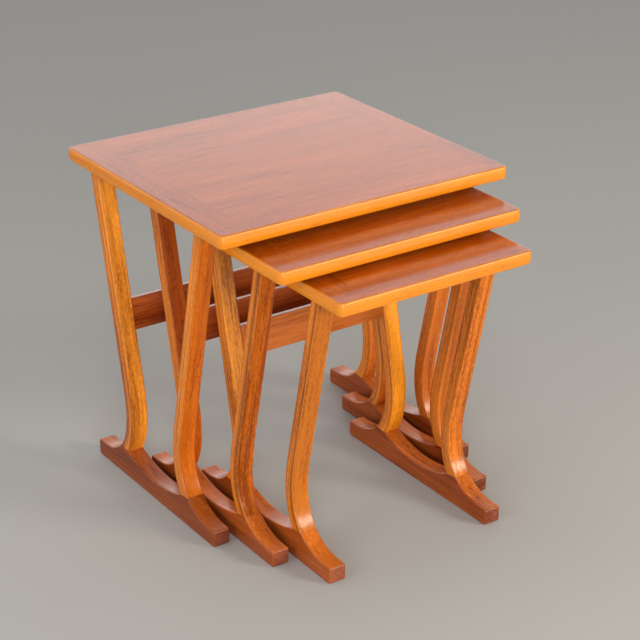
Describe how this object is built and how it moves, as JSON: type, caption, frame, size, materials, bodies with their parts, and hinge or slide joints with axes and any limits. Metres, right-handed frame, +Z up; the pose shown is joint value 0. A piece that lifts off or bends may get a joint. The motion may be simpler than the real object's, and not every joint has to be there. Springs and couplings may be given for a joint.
{
  "type": "nesting tables",
  "caption": "Nest of lipped, veneered occasional tables on bent legs with long feet; the smaller tables slide forwards out from under the largest.",
  "frame": {"origin": "on the floor, under the centre of the nest's bounding box with the smaller tables pulled part of the way out", "axes": "+X to the right along the fronts of the tops, -Y forwards, the way the smaller tables pull out, +Z up"},
  "size_m": [0.488, 0.5846, 0.5],
  "materials": {
    "top_veneer": "satin lacquered teak veneer",
    "lipping": "satin lacquered solid teak, golden",
    "leg": "satin lacquered bent laminated teak",
    "foot": "satin lacquered solid teak, red-brown",
    "rail": "satin lacquered solid teak, red-brown",
    "dowel": "bare fluted beech"
  },
  "bodies": {
    "large_table": {"large_top_panel": "top_veneer", "large_lipping_front": "lipping", "large_lipping_right": "lipping", "large_lipping_back": "lipping", "large_lipping_left": "lipping", "large_leg_front_left": "leg", "large_leg_front_right": "leg", "large_leg_back_left": "leg", "large_leg_back_right": "leg", "large_foot_left": "foot", "large_foot_right": "foot", "large_rail": "rail", "large_top_dowel_front_left": "dowel", "large_top_dowel_front_right": "dowel", "large_top_dowel_back_left": "dowel", "large_top_dowel_back_right": "dowel", "large_foot_dowel_front_left": "dowel", "large_foot_dowel_front_right": "dowel", "large_foot_dowel_back_left": "dowel", "large_foot_dowel_back_right": "dowel"},
    "middle_table": {"middle_top_panel": "top_veneer", "middle_lipping_front": "lipping", "middle_lipping_right": "lipping", "middle_lipping_back": "lipping", "middle_lipping_left": "lipping", "middle_leg_front_left": "leg", "middle_leg_front_right": "leg", "middle_leg_back_left": "leg", "middle_leg_back_right": "leg", "middle_foot_left": "foot", "middle_foot_right": "foot", "middle_rail": "rail", "middle_top_dowel_front_left": "dowel", "middle_top_dowel_front_right": "dowel", "middle_top_dowel_back_left": "dowel", "middle_top_dowel_back_right": "dowel", "middle_foot_dowel_front_left": "dowel", "middle_foot_dowel_front_right": "dowel", "middle_foot_dowel_back_left": "dowel", "middle_foot_dowel_back_right": "dowel"},
    "small_table": {"small_top_panel": "top_veneer", "small_lipping_front": "lipping", "small_lipping_right": "lipping", "small_lipping_back": "lipping", "small_lipping_left": "lipping", "small_leg_front_left": "leg", "small_leg_front_right": "leg", "small_leg_back_left": "leg", "small_leg_back_right": "leg", "small_foot_left": "foot", "small_foot_right": "foot", "small_rail": "rail", "small_top_dowel_front_left": "dowel", "small_top_dowel_front_right": "dowel", "small_top_dowel_back_left": "dowel", "small_top_dowel_back_right": "dowel", "small_foot_dowel_front_left": "dowel", "small_foot_dowel_front_right": "dowel", "small_foot_dowel_back_left": "dowel", "small_foot_dowel_back_right": "dowel"}
  },
  "joints": [
    {"name": "middle_slide", "type": "slide", "parent": "large_table", "child": "middle_table", "axis": [0, -1, 0], "range_m": [-0.072, 0.35]},
    {"name": "small_slide", "type": "slide", "parent": "middle_table", "child": "small_table", "axis": [0, -1, 0], "range_m": [-0.06, 0.35]}
  ]
}
